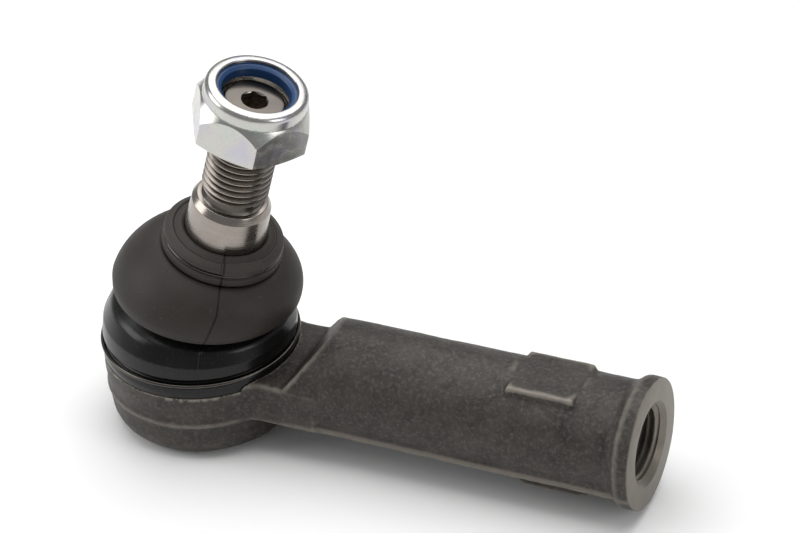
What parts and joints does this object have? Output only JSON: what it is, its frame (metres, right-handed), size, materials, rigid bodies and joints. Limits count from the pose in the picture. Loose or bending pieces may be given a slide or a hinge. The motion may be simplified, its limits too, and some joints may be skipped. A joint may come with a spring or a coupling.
{
  "type": "tie rod end",
  "caption": "Steering tie rod end: forged housing with a tapered ball stud, two-lobed rubber dust boot, wire retaining rings and self-locking nut.",
  "frame": {"origin": "centre of the end cover's outer face, straight below the ball's centre", "axes": "+Z along the cup's axis, from the end cover up to the ball stud; +X along the shank, to its threaded mouth; the stud leans 16 degrees from +Z towards +X at rest"},
  "size_m": [0.1216, 0.0422, 0.086],
  "materials": {
    "forged_steel": "drop-forged steel with a dark grey-brown phosphate coating, machined at the flange face",
    "cover_steel": "pressed steel disc, thin zinc",
    "spring_steel": "hardened and oiled",
    "bearing_plastic": "moulded acetal, greased",
    "stud_steel": "turned and rolled bright steel",
    "boot_rubber": "moulded chloroprene rubber, matt",
    "ring_wire": "drawn spring wire",
    "nut_zinc": "bright zinc plate, clear passivated",
    "nut_nylon": "moulded blue nylon"
  },
  "bodies": {
    "housing": {"housing": "forged_steel", "end_cover": "cover_steel", "preload_spring": "spring_steel", "bearing_lower": "bearing_plastic", "bearing_upper": "bearing_plastic", "boot_base": "boot_rubber", "boot_lower_ring": "ring_wire"},
    "boot_foot": {"boot_lower_lobe": "boot_rubber"},
    "boot_middle": {"boot_waist": "boot_rubber"},
    "boot_collar": {"boot_upper_lobe": "boot_rubber", "boot_lip": "boot_rubber", "boot_upper_ring": "ring_wire"},
    "stud": {"ball_stud": "stud_steel"},
    "insert": {"nut_insert": "nut_nylon"},
    "nut": {"nut_body": "nut_zinc"}
  },
  "joints": [
    {"name": "lean_direction", "type": "hinge", "parent": "housing", "child": "boot_foot", "pos_m": [0, 0, 0.0176], "axis": [0, 0, 1], "continuous": true, "deforming": ["boot_lower_lobe", "boot_waist", "boot_upper_lobe"]},
    {"name": "lean", "type": "hinge", "parent": "boot_foot", "child": "boot_middle", "pos_m": [0, 0, 0.0176], "axis": [0, 1, 0], "range_deg": [-18, 2], "deforming": ["boot_lower_lobe", "boot_waist", "boot_upper_lobe"]},
    {"name": "lean_upper", "type": "hinge", "parent": "boot_middle", "child": "boot_collar", "pos_m": [0, 0, 0.0176], "axis": [0, 1, 0], "range_deg": [-18.1, 2.1], "deforming": ["boot_lower_lobe", "boot_waist", "boot_upper_lobe"]},
    {"name": "stud_spin", "type": "hinge", "parent": "boot_collar", "child": "stud", "pos_m": [0, 0, 0.0176], "axis": [0.2756, 0, 0.9613], "continuous": true},
    {"name": "nut_travel", "type": "slide", "parent": "stud", "child": "insert", "axis": [0.2756, 0, 0.9613], "range_m": [-0.01426, 0.00751]},
    {"name": "nut_turn", "type": "hinge", "parent": "insert", "child": "nut", "pos_m": [0, 0, 0.0176], "axis": [0.2756, 0, 0.9613], "range_deg": [-3420, 1800]}
  ],
  "couplings": [
    {"joint": "lean_upper", "follows": "lean", "ratio": 1},
    {"joint": "nut_travel", "follows": "nut_turn", "m_per_rad": 0.00023873}
  ]
}
